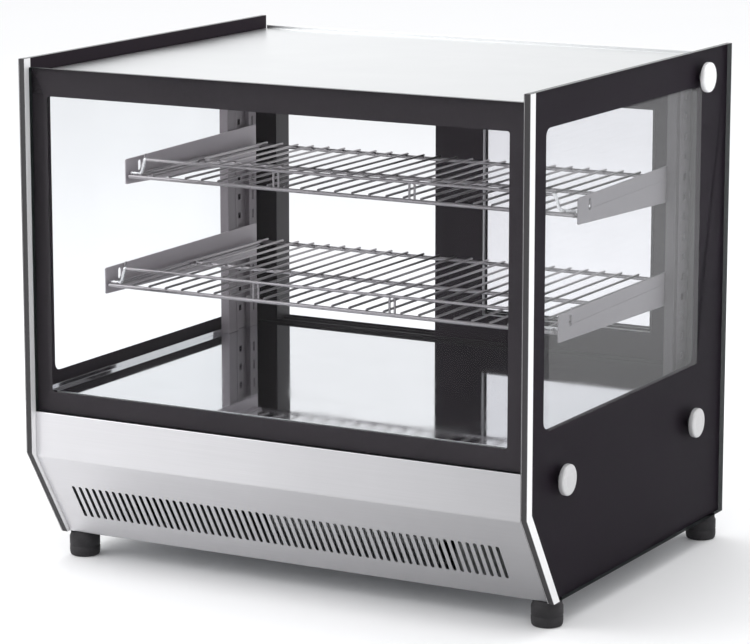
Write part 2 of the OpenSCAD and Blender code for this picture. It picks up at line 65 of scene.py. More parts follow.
# ---------------------------------------------------------------- material helpers
class Tree:
    """A material's node tree with short calls for the nodes used here."""
    def __init__(self, name):
        self.m = bpy.data.materials.new(name)
        self.m.use_nodes = True
        self.t = self.m.node_tree
        self.t.nodes.clear()
        self.out = self.t.nodes.new("ShaderNodeOutputMaterial")
        self.obj = self.t.nodes.new("ShaderNodeTexCoord").outputs["Object"]

    def n(self, kind, **sockets):
        node = self.t.nodes.new(kind)
        for k, v in sockets.items():
            key = int(k[1:]) if k[0] == "i" and k[1:].isdigit() else k.replace("_", " ")
            self.put(node.inputs[key], v)
        return node

    def put(self, sock, v):
        if isinstance(v, bpy.types.NodeSocket):
            self.t.links.new(v, sock)
        elif hasattr(sock.default_value, "__len__") and isinstance(v, (tuple, list)) and len(sock.default_value) == 4 and len(v) == 3:
            sock.default_value = (*v, 1.0)
        else:
            sock.default_value = v

    def scaled(self, s):
        return self.n("ShaderNodeMapping", Vector=self.obj, Scale=s).outputs[0]

    def noise(self, scale, vec=None, detail=3.0, rough=0.5, distortion=0.0):
        return self.n("ShaderNodeTexNoise", Vector=vec or self.obj, Scale=scale, Detail=detail, Roughness=rough,
                      Distortion=distortion).outputs["Fac"]

    def ramp(self, fac, stops):
        r = self.n("ShaderNodeValToRGB", Fac=fac)
        e = r.color_ramp.elements
        while len(e) < len(stops):
            e.new(0.5)
        for el, (p, c) in zip(e, stops):
            el.position = p
            el.color = (*c, 1.0) if isinstance(c, (tuple, list)) else (c, c, c, 1.0)
        return r.outputs[0]

    def span(self, v, a, b, c, d):
        return self.n("ShaderNodeMapRange", i0=v, i1=a, i2=b, i3=c, i4=d).outputs[0]

    def math(self, op, a, b=0.0):
        node = self.t.nodes.new("ShaderNodeMath")
        node.operation = op
        self.put(node.inputs[0], a)
        self.put(node.inputs[1], b)
        return node.outputs[0]

    def mix(self, fac, a, b):
        node = self.t.nodes.new("ShaderNodeMix")
        node.data_type = "RGBA"
        self.put(node.inputs[0], fac)
        self.put(node.inputs[6], a)
        self.put(node.inputs[7], b)
        return node.outputs[2]

    def bump(self, height, strength, dist, normal=None):
        b = self.n("ShaderNodeBump", Strength=strength, Distance=dist, Height=height)
        if normal is not None:
            self.put(b.inputs["Normal"], normal)
        return b.outputs[0]

    def done(self, shader):
        self.t.links.new(shader, self.out.inputs["Surface"])
        return self.m

    def fade(self, col, painted_light_ramp, axis=0):
        """Painted light and shade: the colour scaled from the third number of the ramp to the fourth as the place
        along an axis runs from the first number to the second, so one end reads lit and the other shaded.
        """
        place = self.n("ShaderNodeSeparateXYZ", i0=self.obj).outputs[axis]
        sc = self.t.nodes.new("ShaderNodeVectorMath")
        sc.operation = "SCALE"
        self.put(sc.inputs[0], col)
        self.put(sc.inputs["Scale"], self.span(place, *painted_light_ramp))
        return sc.outputs[0]

    def pbr(self, color, rough, normal=None, metal=0.0, **kw):
        p = self.n("ShaderNodeBsdfPrincipled", Base_Color=color, Roughness=rough, Metallic=metal)
        if normal is not None:
            self.put(p.inputs["Normal"], normal)
        for k, v in kw.items():
            self.put(p.inputs[k.replace("_", " ")], v)
        return p.outputs[0]


def dim(c, f):
    return tuple(min(1.0, x * f) for x in c)


def steel(name, color, rough, axis="x", line=1.0, smudge=0.06, bump=0.05, painted_light_ramp=None):
    """Brushed sheet: fine lines along one axis, faint smudges, tiny waviness of the sheet."""
    t = Tree(name)
    k = {"x": (6, 700, 700), "y": (700, 6, 700), "z": (700, 700, 6)}[axis]
    lines = t.noise(1.0, t.scaled(k), 4.0, 0.6)
    fine = t.noise(1.0, t.scaled(tuple(v * 3 for v in k)), 2.0, 0.5)
    cloud = t.noise(5.0, None, 4.0, 0.55, 0.4)
    both = t.math("ADD", t.math("MULTIPLY", lines, 0.65), t.math("MULTIPLY", fine, 0.35))
    col = t.mix(t.span(both, 0.35, 0.65, 0.0, 1.0), dim(color, 1 - 0.07 * line), dim(color, 1 + 0.05 * line))
    col = t.mix(t.span(cloud, 0.35, 0.7, 0.0, 0.35), col, dim(color, 0.93))
    # painted light and shade: with a ramp given, the colour grows lighter towards one end of the x axis and darker
    # towards the other
    if painted_light_ramp:
        col = t.fade(col, painted_light_ramp)
    r = t.math("ADD", t.span(both, 0.3, 0.7, rough - 0.05 * line, rough + 0.06 * line), t.span(cloud, 0.4, 0.7, 0.0, smudge))
    nrm = t.bump(both, bump, 0.0003)
    return t.done(t.pbr(col, r, nrm, 1.0))


def paint(name, color, rough, grain=450.0, bump=0.12, var=0.12, spec=0.5, coat=0.0, painted_light_ramp=None):
    """Coat of enamel or powder: orange-peel grain, slight change of tone."""
    t = Tree(name)
    peel = t.noise(grain, None, 3.0, 0.5)
    cloud = t.noise(7.0, None, 3.0, 0.5)
    col = t.mix(t.span(cloud, 0.3, 0.7, 0.0, 1.0), dim(color, 1 - var), dim(color, 1 + var))
    # painted light and shade: with a ramp given, the colour grows lighter towards one end of the x axis and darker
    # towards the other
    if painted_light_ramp:
        col = t.fade(col, painted_light_ramp)
    r = t.math("ADD", t.span(peel, 0.3, 0.7, rough - 0.04, rough + 0.06), t.span(cloud, 0.4, 0.7, 0.0, 0.06))
    nrm = t.bump(peel, bump, 0.0002)
    return t.done(t.pbr(col, r, nrm, 0.0, Specular_IOR_Level=spec, Coat_Weight=coat, Coat_Roughness=0.08))


def plastic(name, color, rough, grain=1400.0, bump=0.2, var=0.1, spec=0.5):
    """Moulded plastic: spark-eroded grain from cells, with soft tone changes."""
    t = Tree(name)
    v = t.n("ShaderNodeTexVoronoi", Vector=t.obj, Scale=grain)
    cells = v.outputs["Distance"]
    cloud = t.noise(11.0, None, 3.0, 0.5)
    fine = t.noise(grain * 0.6, None, 2.0, 0.5)
    col = t.mix(t.span(cloud, 0.3, 0.7, 0.0, 1.0), dim(color, 1 - var), dim(color, 1 + var))
    r = t.math("ADD", t.span(fine, 0.3, 0.7, rough - 0.05, rough + 0.05), t.span(cloud, 0.45, 0.75, 0.0, 0.08))
    nrm = t.bump(cells, bump, 0.00015)
    return t.done(t.pbr(col, r, nrm, 0.0, Specular_IOR_Level=spec))


def rubber(name, color):
    t = Tree(name)
    fine = t.noise(900.0, None, 4.0, 0.6)
    cloud = t.noise(30.0, None, 3.0, 0.6)
    col = t.mix(t.span(cloud, 0.35, 0.7, 0.0, 1.0), color, dim(color, 1.9))
    r = t.span(fine, 0.3, 0.7, 0.55, 0.8)
    return t.done(t.pbr(col, r, t.bump(fine, 0.25, 0.0003), 0.0, Specular_IOR_Level=0.35))


def bright(name, color, rough, axis="z"):
    """Anodised or plated part: drawn lines, faint wear."""
    t = Tree(name)
    k = {"x": (3, 500, 500), "y": (500, 3, 500), "z": (500, 500, 3)}[axis]
    lines = t.noise(1.0, t.scaled(k), 3.0, 0.55)
    wear = t.noise(60.0, None, 5.0, 0.6)
    col = t.mix(t.span(lines, 0.35, 0.65, 0.0, 1.0), dim(color, 0.95), dim(color, 1.03))
    col = t.mix(t.span(wear, 0.6, 0.8, 0.0, 0.25), col, dim(color, 0.8))
    r = t.math("ADD", t.span(lines, 0.3, 0.7, rough - 0.03, rough + 0.05), t.span(wear, 0.55, 0.8, 0.0, 0.12))
    return t.done(t.pbr(col, r, t.bump(lines, 0.04, 0.0002), 1.0))


def white_anodised(name, color, rough, axis="z", painted_light_ramp=None, edges=None):
    """Satin white-silver anodised edge: near-white, drawn along its length, faint rubbed patches."""
    t = Tree(name)
    k = {"x": (3, 420, 420), "y": (420, 3, 420), "z": (420, 420, 3)}[axis]
    lines = t.noise(1.0, t.scaled(k), 3.0, 0.55)
    wear = t.noise(45.0, None, 5.0, 0.6)
    col = t.mix(t.span(lines, 0.35, 0.65, 0.0, 1.0), dim(color, 0.97), dim(color, 1.02))
    col = t.mix(t.span(wear, 0.6, 0.8, 0.0, 0.3), col, dim(color, 0.9))
    # painted light and shade: with a ramp given, the colour grows lighter towards one end of the z axis and darker
    # towards the other
    if painted_light_ramp:
        col = t.fade(col, painted_light_ramp, 2)
    if edges:
        geo = t.t.nodes.new("ShaderNodeNewGeometry")
        sep = t.n("ShaderNodeSeparateXYZ", i0=geo.outputs["Normal"])
        col = t.mix(t.span(t.math("ABSOLUTE", sep.outputs[0]), 0.5, 0.7, 0.0, 1.0), edges, col)
    r = t.math("ADD", t.span(lines, 0.3, 0.7, rough - 0.03, rough + 0.05), t.span(wear, 0.55, 0.8, 0.0, 0.1))
    return t.done(t.pbr(col, r, t.bump(lines, 0.03, 0.0002), 0.25, Specular_IOR_Level=0.6))


def bead_strip(name):
    """Glazing bead: bright rolled reveal faces, dark faces towards the front like the frame it sits in."""
    t = Tree(name)
    geo = t.t.nodes.new("ShaderNodeNewGeometry")
    sep = t.n("ShaderNodeSeparateXYZ", i0=geo.outputs["Normal"])
    front = t.span(t.math("ABSOLUTE", sep.outputs[1]), 0.4, 0.6, 0.0, 1.0)
    lines = t.noise(1.0, t.scaled((500, 500, 4)), 3.0, 0.55)
    col = t.mix(t.span(lines, 0.35, 0.65, 0.0, 1.0), (0.50, 0.49, 0.50), (0.62, 0.61, 0.62))
    col = t.mix(front, col, (0.03, 0.026, 0.03))
    return t.done(t.pbr(col, t.span(lines, 0.3, 0.7, 0.28, 0.4), t.bump(lines, 0.03, 0.0002), 0.6))


def mirror_sheet(name, color, rough):
    """Mirror-polished stainless floor: almost clean reflections, hairline scratches, faint finger haze."""
    t = Tree(name)
    wav = t.n("ShaderNodeTexNoise", Vector=t.scaled((300, 12, 300)), Scale=1.0, Detail=2.0).outputs["Fac"]
    haze_and_low_shade = t.noise(9.0, None, 4.0, 0.6, 0.6)
    scratch = t.span(wav, 0.62, 0.7, 0.0, 1.0)
    r = t.math("ADD", t.span(haze_and_low_shade, 0.4, 0.75, rough, rough + 0.07), t.math("MULTIPLY", scratch, 0.03))
    col = t.mix(t.span(haze_and_low_shade, 0.4, 0.75, 0.0, 0.5), color, dim(color, 0.94))
    return t.done(t.pbr(col, r, t.bump(wav, 0.015, 0.0002), 1.0))


def glass(name, tint, axis, shine, window, haze_and_low_shade=None):
    """Clear pane: see-through, with a mirror share over the clear window that grows at a slant, a faint film
    of dust, and dark green ground edges on the sides that face away from the pane's own axis."""
    t = Tree(name)
    geo = t.t.nodes.new("ShaderNodeNewGeometry")
    sep = t.n("ShaderNodeSeparateXYZ", i0=geo.outputs["Normal"])
    across = t.math("ABSOLUTE", sep.outputs[axis])
    edge = t.span(across, 0.5, 0.8, 1.0, 0.0)
    pos = t.n("ShaderNodeSeparateXYZ", i0=t.obj)
    a, (a0, a1), (z0, z1) = window
    inside = None
    for sock, v, op in ((a, a0, "GREATER_THAN"), (a, a1, "LESS_THAN"), (2, z0, "GREATER_THAN"), (2, z1, "LESS_THAN")):
        m = t.math(op, pos.outputs[sock], v)
        inside = m if inside is None else t.math("MULTIPLY", inside, m)
    film = t.noise(14.0, None, 5.0, 0.65, 0.3)
    tone = t.mix(t.span(film, 0.4, 0.8, 0.0, 0.5), tint, dim(tint, 0.985))
    if haze_and_low_shade:                                   # painted shade: lower down the pane's tint is dimmed and its mirror share is cut, standing in for the darker surroundings it reflects there
        low = t.span(pos.outputs[2], haze_and_low_shade[0], haze_and_low_shade[1], 1.0, 0.0)
        tone = t.mix(low, tone, dim(tint, haze_and_low_shade[2]))
        shine = t.span(low, 0.0, 1.0, shine, shine * haze_and_low_shade[3])
    clear = t.n("ShaderNodeBsdfTransparent", Color=tone).outputs[0]
    gloss = t.n("ShaderNodeBsdfAnisotropic", Color=(1, 1, 1), Roughness=t.span(film, 0.4, 0.8, 0.0, 0.03)).outputs[0]
    facing = t.n("ShaderNodeLayerWeight", Blend=0.5).outputs["Facing"]
    fres = t.math("ADD", t.math("MULTIPLY", t.math("POWER", facing, 5.0), 0.96), 0.04)
    share = t.math("MULTIPLY", t.math("MULTIPLY", fres, shine), inside)
    face = t.n("ShaderNodeMixShader", i0=share, i1=clear, i2=gloss).outputs[0]
    rim = t.pbr((0.022, 0.027, 0.026), 0.3, None, 0.0, Specular_IOR_Level=0.4)
    side = t.n("ShaderNodeMixShader", i0=0.95, i1=clear, i2=rim).outputs[0]
    return t.done(t.n("ShaderNodeMixShader", i0=edge, i1=face, i2=side).outputs[0])


def printed(name, color, spec=0.12):
    """Fired enamel seen on glass: dense black with slow changes of tone and a slight sheen."""
    t = Tree(name)
    cloud = t.noise(6.0, None, 3.0, 0.5)
    fine = t.noise(420.0, None, 2.0, 0.5)
    col = t.mix(t.span(cloud, 0.3, 0.7, 0.0, 1.0), dim(color, 0.9), dim(color, 1.12))
    col = t.mix(t.span(fine, 0.35, 0.65, 0.0, 0.5), col, dim(color, 1.15))
    r = t.math("ADD", t.span(fine, 0.3, 0.7, 0.44, 0.47), t.span(cloud, 0.3, 0.7, 0.0, 0.04))
    return t.done(t.pbr(col, r, None, 0.0, Specular_IOR_Level=spec))


def fins(name, color, axis, pitch):
    """Stacked thin fins: bright edges with painted shade in the gaps between them."""
    t = Tree(name)
    sep = t.n("ShaderNodeSeparateXYZ", i0=t.obj)
    w = t.math("FRACT", t.math("DIVIDE", sep.outputs[axis], pitch))
    gap_shade = t.span(t.math("ABSOLUTE", t.math("SUBTRACT", w, 0.5)), 0.12, 0.3, 0.0, 1.0)
    wob = t.noise(60.0, None, 3.0, 0.5)
    # painted shade: the gaps between fins are darkened to 0.12 of the fin colour
    col = t.mix(gap_shade, dim(color, 0.12), color)
    col = t.mix(t.span(wob, 0.5, 0.8, 0.0, 0.4), col, dim(color, 0.5))
    return t.done(t.pbr(col, t.span(wob, 0.3, 0.7, 0.3, 0.5), t.bump(gap_shade, 0.8, 0.0008), 0.9))


def lamp_lens(name):
    t = Tree(name)
    rib = t.n("ShaderNodeTexWave", Vector=t.obj, Scale=60.0, Distortion=0.2).outputs["Fac"]
    col = t.mix(t.span(rib, 0.0, 1.0, 0.0, 1.0), (0.86, 0.87, 0.85), (0.95, 0.95, 0.93))
    return t.done(t.pbr(col, t.span(rib, 0, 1, 0.35, 0.5), t.bump(rib, 0.3, 0.0005), 0.0,
                        Emission_Color=(1.0, 0.98, 0.94), Emission_Strength=1.2))


BLACK = (0.016, 0.0135, 0.0155)
MATS = {
    "galvanised": steel("galvanised", (0.52, 0.53, 0.55), 0.42, "x", 1.6, 0.12),
    # painted light: the front sheet is lighter towards -x and darker towards +x
    "stainless_front": steel("stainless_front", (0.60, 0.595, 0.61), 0.34, "x", 0.6, 0.05, 0.04, (-0.33, 0.33, 1.06, 0.68)),
    # painted shade: the walls inside the punched slots are near-black
    "slot_wall_shade": steel("slot_wall_shade", (0.055, 0.050, 0.055), 0.5, "x", 0.5, 0.05),
    "stainless_rear": steel("stainless_rear", (0.66, 0.67, 0.68), 0.30, "x", 1.0, 0.07),
    # painted light: the top is lighter towards -x and darker towards +x
    "stainless_top": steel("stainless_top", (0.745, 0.755, 0.76), 0.3, "x", 0.5, 0.05, 0.04, (-0.33, 0.33, 1.0, 0.84)),
    "zinc": bright("zinc", (0.62, 0.62, 0.63), 0.3, "y"),
    "rubber_foot": rubber("rubber_foot", (0.016, 0.015, 0.0165)),
    "mirror_deck": mirror_sheet("mirror_deck", (0.77, 0.78, 0.795), 0.035),
    "foam_liner": plastic("foam_liner", (0.70, 0.70, 0.68), 0.6, 300.0, 0.3, 0.05),
    "black_print": printed("black_print", (0.017, 0.0135, 0.0165)),
    "front_print": printed("front_print", (0.034, 0.0295, 0.033), 0.12),
    "side_print": printed("side_print", (0.0165, 0.0115, 0.0165), 0.05),
    "bright_trim": white_anodised("bright_trim", (0.955, 0.95, 0.96), 0.35, "z", None, (0.030, 0.027, 0.030)),
    "black_insert": plastic("black_insert", (0.018, 0.016, 0.018), 0.5, 900.0, 0.1),
    # painted light and shade: the knobs are darker low down and lighter high up
    "satin_knob": white_anodised("satin_knob", (0.90, 0.895, 0.905), 0.35, "y", (0.17, 0.60, 0.66, 1.08)),
    "white_liner": paint("white_liner", (0.82, 0.82, 0.82), 0.35, 500.0, 0.06, 0.03),
    "aluminium_frame": bright("aluminium_frame", (0.62, 0.63, 0.64), 0.34, "x"),
    "lamp_lens": lamp_lens("lamp_lens"),
    "black_frame": paint("black_frame", (0.020, 0.016, 0.019), 0.42, 500.0, 0.1, 0.15, 0.3),
    "door_plastic": plastic("door_plastic", (0.031, 0.024, 0.030), 0.5, 1200.0, 0.1, 0.12, 0.14),
    "bead_metal": bead_strip("bead_metal"),
    "gasket_rubber": rubber("gasket_rubber", (0.018, 0.017, 0.018)),
    "nylon": plastic("nylon", (0.72, 0.71, 0.68), 0.45, 900.0, 0.1, 0.05),
    # painted light: the posts are lighter towards -x and darker towards +x
    "post_steel": paint("post_steel", (0.135, 0.120, 0.130), 0.42, 420.0, 0.05, 0.08, 0.45, 0.0, (-0.3, 0.3, 1.35, 0.72)),
    # painted light: the brackets are lighter towards -x and darker towards +x, the -x ones lifted out of their shade
    "bracket_steel": paint("bracket_steel", (0.285, 0.262, 0.278), 0.4, 480.0, 0.05, 0.06, 0.4, 0.0, (-0.3, 0.3, 1.6, 0.80)),
    "shelf_wire": bright("shelf_wire", (0.325, 0.308, 0.318), 0.3, "y"),
    "hook_wire": bright("hook_wire", (0.85, 0.85, 0.86), 0.25, "z"),
    "compressor_paint": paint("compressor_paint", (0.02, 0.02, 0.022), 0.3, 200.0, 0.2, 0.2),
    "fin_aluminium": fins("fin_aluminium", (0.62, 0.63, 0.64), 0, 0.0024),
    "fan_plastic": plastic("fan_plastic", (0.03, 0.03, 0.033), 0.4),
    "tray_plastic": plastic("tray_plastic", (0.16, 0.16, 0.17), 0.45),
    "copper": bright("copper", (0.72, 0.36, 0.22), 0.25, "y"),
    "control_plastic": plastic("control_plastic", (0.022, 0.022, 0.024), 0.42, 1300.0, 0.25),
    "display_lens": paint("display_lens", (0.035, 0.004, 0.004), 0.12, 300.0, 0.01, 0.1, 0.6, 0.6),
    "button_plastic": plastic("button_plastic", (0.11, 0.11, 0.115), 0.4, 1500.0, 0.15),
    "rocker_plastic": plastic("rocker_plastic", (0.015, 0.10, 0.03), 0.3, 1500.0, 0.05),
    "gland_plastic": plastic("gland_plastic", (0.02, 0.02, 0.021), 0.45, 1300.0, 0.2),
}
SIDE_WINDOW = (1, (-0.2285, 0.192), (0.241, 0.587))
GLASS = {
    # painted shade on the right side pane: tint dimmed to 0.95 and mirror share cut to 0.75 at z 0.24, easing back by
    # z 0.40
    "side_glass_right": glass("side_pane_right", (0.962, 0.97, 0.976), 0, 0.68, SIDE_WINDOW, (0.24, 0.40, 0.95, 0.75)),
    "side_glass_left": glass("side_pane_left", (0.985, 0.99, 0.993), 0, 0.2, SIDE_WINDOW),
    "front_glass": glass("front_pane", (0.932, 0.936, 0.943), 1, 0.1, (0, (-0.3115, 0.3085), (0.225, 0.587))),
    "inner_door_glass": glass("door_pane", (0.945, 0.943, 0.95), 1, 0.3, (0, (-0.4, 0.4), (0.0, 1.0))),
}
GLASS["outer_door_glass"] = GLASS["inner_door_glass"]
PRINT = {"front_glass_border": "front_print", "side_glass_borders": "side_print"}


def material_for(node):
    if SLOT[node] == "clear_glass":
        return GLASS[node]
    if node in PRINT:
        return MATS[PRINT[node]]
    return MATS[SLOT[node]]


for name, o in NODES.items():
    mat = material_for(name)
    if not o.data.materials:
        o.data.materials.append(mat)
    for s in o.material_slots:
        s.material = mat

# ---------------------------------------------------------------- piece helpers
def add_piece(name, mesh, node=None, body=None, replaces=(), mat=None, smooth=True):
    o = bpy.data.objects.new(name, mesh)
    scene.collection.objects.link(o)
    first = replaces[0] if replaces else node
    o.data.materials.clear()
    o.data.materials.append(mat or material_for(first))
    if smooth:
        for p in mesh.polygons:
            p.use_smooth = True
    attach(o, body or BODY[first])
    if replaces:
        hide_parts(*replaces)
    return o


def settle_normals(me, limit=50.0):
    """Corner normals weighted by face area, so that flat faces stay flat and only the rounded edges turn."""
    nv, nl = len(me.vertices), len(me.loops)
    fn = np.array([p.normal for p in me.polygons], dtype=float)
    fa = np.array([p.area for p in me.polygons], dtype=float)
    lv = np.empty(nl, dtype=np.int64)
    me.loops.foreach_get("vertex_index", lv)
    lf = np.empty(nl, dtype=np.int64)
    for i, p in enumerate(me.polygons):
        lf[p.loop_start:p.loop_start + p.loop_total] = i
    order = np.argsort(lv, kind="stable")
    cut = np.searchsorted(lv[order], np.arange(nv + 1))
    c = math.cos(math.radians(limit))
    out = np.zeros((nl, 3))
    for v in range(nv):
        ls = order[cut[v]:cut[v + 1]]
        if len(ls) == 0:
            continue
        n = fn[lf[ls]]
        w = fa[lf[ls]]
        keep = (n @ n.T) > c
        out[ls] = (keep * w[None, :]) @ n
    ln = np.linalg.norm(out, axis=1)
    bad = ln < 1e-12
    out[bad] = fn[lf[bad]]
    ln[bad] = 1.0
    out /= ln[:, None]
    me.normals_split_custom_set(out.tolist())


def bevelled(node, width=0.0006, segs=2, angle=32.0, name=None, weld=1e-6):
    """The same piece with its sharp edges rounded: flat areas are merged first, then edges get a real radius."""
    src = NODES[node]
    bm = bmesh.new()
    bm.from_mesh(src.data)
    bmesh.ops.remove_doubles(bm, verts=bm.verts, dist=weld)
    bmesh.ops.dissolve_limit(bm, angle_limit=math.radians(0.8), verts=bm.verts, edges=bm.edges, use_dissolve_boundaries=False)
    me = bpy.data.meshes.new(name or node + "_shell")
    bm.to_mesh(me)
    bm.free()
    o = add_piece(name or node + "_shell", me, replaces=(node,))
    mod = o.modifiers.new("edge", "BEVEL")
    mod.width = width
    mod.segments = segs
    mod.limit_method = "ANGLE"
    mod.angle_limit = math.radians(angle)
    mod.use_clamp_overlap = True
    dg = bpy.context.evaluated_depsgraph_get()
    new = bpy.data.meshes.new_from_object(o.evaluated_get(dg))
    o.modifiers.clear()
    for poly in new.polygons:
        poly.use_smooth = True
    settle_normals(new)
    o.data = new
    return o


def sweep(paths, radius, sides=12, caps=True):
    """Round wires along lists of points, with rounded ends, all in one mesh."""
    bm = bmesh.new()
    for pts in paths:
        pts = [Vector(p) for p in pts]
        rings = []
        n = len(pts)
        # rounded ends: a few extra rings that shrink
        plan = []
        for i, p in enumerate(pts):
            d = (pts[min(i + 1, n - 1)] - pts[max(i - 1, 0)]).normalized()
            plan.append((p, d, radius))
        if caps:
            d0, d1 = plan[0][1], plan[-1][1]
            head = [(pts[0] - d0 * radius * math.sin(a), d0, radius * math.cos(a)) for a in (1.35, 0.9, 0.45)]
            tail = [(pts[-1] + d1 * radius * math.sin(a), d1, radius * math.cos(a)) for a in (0.45, 0.9, 1.35)]
            plan = head + plan + tail
        ref = Vector((0, 0, 1)) if abs(plan[0][1].z) < 0.9 else Vector((1, 0, 0))
        for p, d, r in plan:
            u = (ref - d * ref.dot(d)).normalized()
            v = d.cross(u)
            ref = u
            rings.append([bm.verts.new(p + (u * math.cos(2 * math.pi * k / sides) + v * math.sin(2 * math.pi * k / sides)) * r)
                          for k in range(sides)])
        for a, b in zip(rings, rings[1:]):
            for k in range(sides):
                bm.faces.new((a[k], a[(k + 1) % sides], b[(k + 1) % sides], b[k]))
        bm.faces.new(list(reversed(rings[0])))
        bm.faces.new(rings[-1])
    bmesh.ops.recalc_face_normals(bm, faces=bm.faces)
    me = bpy.data.meshes.new("wire")
    bm.to_mesh(me)
    bm.free()
    return me


def rounded_path(pts, r, steps=6):
    """A path whose corners are turned on an arc of radius r."""
    pts = [Vector(p) for p in pts]
    out = [pts[0]]
    for a, b, c in zip(pts, pts[1:], pts[2:]):
        d0, d1 = (a - b), (c - b)
        l = min(r, d0.length * 0.49, d1.length * 0.49)
        p0, p1 = b + d0.normalized() * l, b + d1.normalized() * l
        for i in range(steps + 1):
            t = i / steps
            out.append(p0 * (1 - t) ** 2 + b * 2 * t * (1 - t) + p1 * t ** 2)
    out.append(pts[-1])
    return out


def lathe(profile, centre, axis, sides=64):
    """Turned piece: profile is (radius, distance along axis) points."""
    bm = bmesh.new()
    a = Vector(axis).normalized()
    u = a.orthogonal().normalized()
    v = a.cross(u)
    c = Vector(centre)
    rings = []
    for r, h in profile:
        if r < 1e-7:
            rings.append([bm.verts.new(c + a * h)])
        else:
            rings.append([bm.verts.new(c + a * h + (u * math.cos(2 * math.pi * k / sides) + v * math.sin(2 * math.pi * k / sides)) * r)
                          for k in range(sides)])
    for p, q in zip(rings, rings[1:]):
        for k in range(sides):
            j = (k + 1) % sides
            if len(p) == 1 and len(q) == 1:
                continue
            if len(p) == 1:
                bm.faces.new((p[0], q[j], q[k]))
            elif len(q) == 1:
                bm.faces.new((p[k], p[j], q[0]))
            else:
                bm.faces.new((p[k], p[j], q[j], q[k]))
    bmesh.ops.recalc_face_normals(bm, faces=bm.faces)
    return bm


def merge_bm(parts, name):
    me = bpy.data.meshes.new(name)
    out = bmesh.new()
    for bm in parts:
        tmp = bpy.data.meshes.new("tmp")
        bm.to_mesh(tmp)
        bm.free()
        out.from_mesh(tmp)
        bpy.data.meshes.remove(tmp)
    out.to_mesh(me)
    out.free()
    return me


mm = 0.001

# ---------------------------------------------------------------- wire shelves
WIRE_N, SPAN, REAR = 26, 0.590, 0.214
for tag, y0, z, body in (("upper", -0.098, 0.4675, "upper_shelf"), ("lower", -0.147, 0.3375, "lower_shelf")):
    heavy = []
    for y in (y0, (y0 + REAR) / 2, REAR):
        heavy.append([(-0.3055, y, z), (0.3055, y, z)])
    me1 = sweep(heavy, 0.0025, 16)
    me2 = sweep([[(s * 0.303, y0 + 0.001, z), (s * 0.303, REAR - 0.001, z)] for s in (-1, 1)], 0.002, 14)
    fine = []
    for i in range(WIRE_N):
        x = (i - (WIRE_N - 1) / 2) * SPAN / (WIRE_N - 1)
        fine.append([(x, y0 + 0.0006, z + 0.0034), (x, REAR + 0.0035, z + 0.0034)])
    me3 = sweep(fine, 0.0015, 12)
    out = bmesh.new()
    for me in (me1, me2, me3):
        out.from_mesh(me)
        bpy.data.meshes.remove(me)
    me = bpy.data.meshes.new("shelf_%s_wires" % tag)
    out.to_mesh(me)
    out.free()
    add_piece("shelf_%s_wires" % tag, me, replaces=("shelf_" + tag,))
    # guard rail with pinched posts, end bends and hooks
    end = [(0.2835, y0, z + 0.0226), (0.2880, y0 + 0.0003, z + 0.0070), (0.2915, y0 + 0.0016, z + 0.0042), (0.3010, y0 + 0.0040, z + 0.0038),
           (0.3088, y0 + 0.0060, z + 0.0034)]
    paths = [[(-0.2826, y0, z + 0.0226), (0.2826, y0, z + 0.0226)]]
    tips = sweep([rounded_path([(s * 0.2815, y0 - 0.0002, z + 0.0230)] + [(s * a, b, c) for a, b, c in end], 0.005) for s in (-1, 1)], 0.0021, 14)
    g1 = sweep(paths, 0.0019, 14)
    loops = []
    for x in (-0.094, 0.094):
        loops.append(rounded_path([(x - 0.0035, y0, z), (x - 0.0035, y0, z + 0.0222), (x + 0.0035, y0, z + 0.0222), (x + 0.0035, y0, z)], 0.0034))
    g2 = sweep(loops, 0.0014, 12)
    hooks = []
    for s in (-1, 1):
        hooks.append(rounded_path([(s * 0.3060, y0 + 0.0038, z), (s * 0.3093, y0 + 0.0046, z), (s * 0.3094, y0 + 0.026, z),
                                   (s * 0.3094, y0 + 0.036, z + 0.011), (s * 0.3094, y0 + 0.042, z + 0.0218)], 0.006))
    g3 = sweep(hooks, 0.0013, 12)
    out = bmesh.new()
    for me in (g1, g2, g3):
        out.from_mesh(me)
        bpy.data.meshes.remove(me)
    me = bpy.data.meshes.new("shelf_%s_guard_wires" % tag)
    out.to_mesh(me)
    out.free()
    add_piece("shelf_%s_guard_wires" % tag, me, replaces=("shelf_%s_guard" % tag,))
    add_piece("shelf_%s_guard_tips" % tag, tips, node="shelf_%s_guard" % tag, mat=MATS["hook_wire"])

# ---------------------------------------------------------------- turned pieces
parts = []
for x in (-0.322, 0.322):
    for y in (-0.188, 0.258):
        parts.append(lathe([(0, 0.0006), (0.011, 0.0006), (0.0118, 0.0), (0.0158, 0.0), (0.0174, 0.0006), (0.0183, 0.0019), (0.0187, 0.0038),
                            (0.019, 0.0065), (0.019, 0.0118), (0.0184, 0.0124), (0.0184, 0.0136), (0.019, 0.0142),
                            (0.019, 0.0238), (0.0187, 0.0249), (0.018, 0.0262), (0.0174, 0.0276), (0.0174, 0.0312),
                            (0.0168, 0.032), (0.0043, 0.032), (0.0040, 0.0324), (0.0040, 0.0414), (0.0034, 0.042), (0, 0.042)], (x, y, 0), (0, 0, 1), 72))
add_piece("feet_moulded", merge_bm(parts, "feet_moulded"), replaces=("feet",))

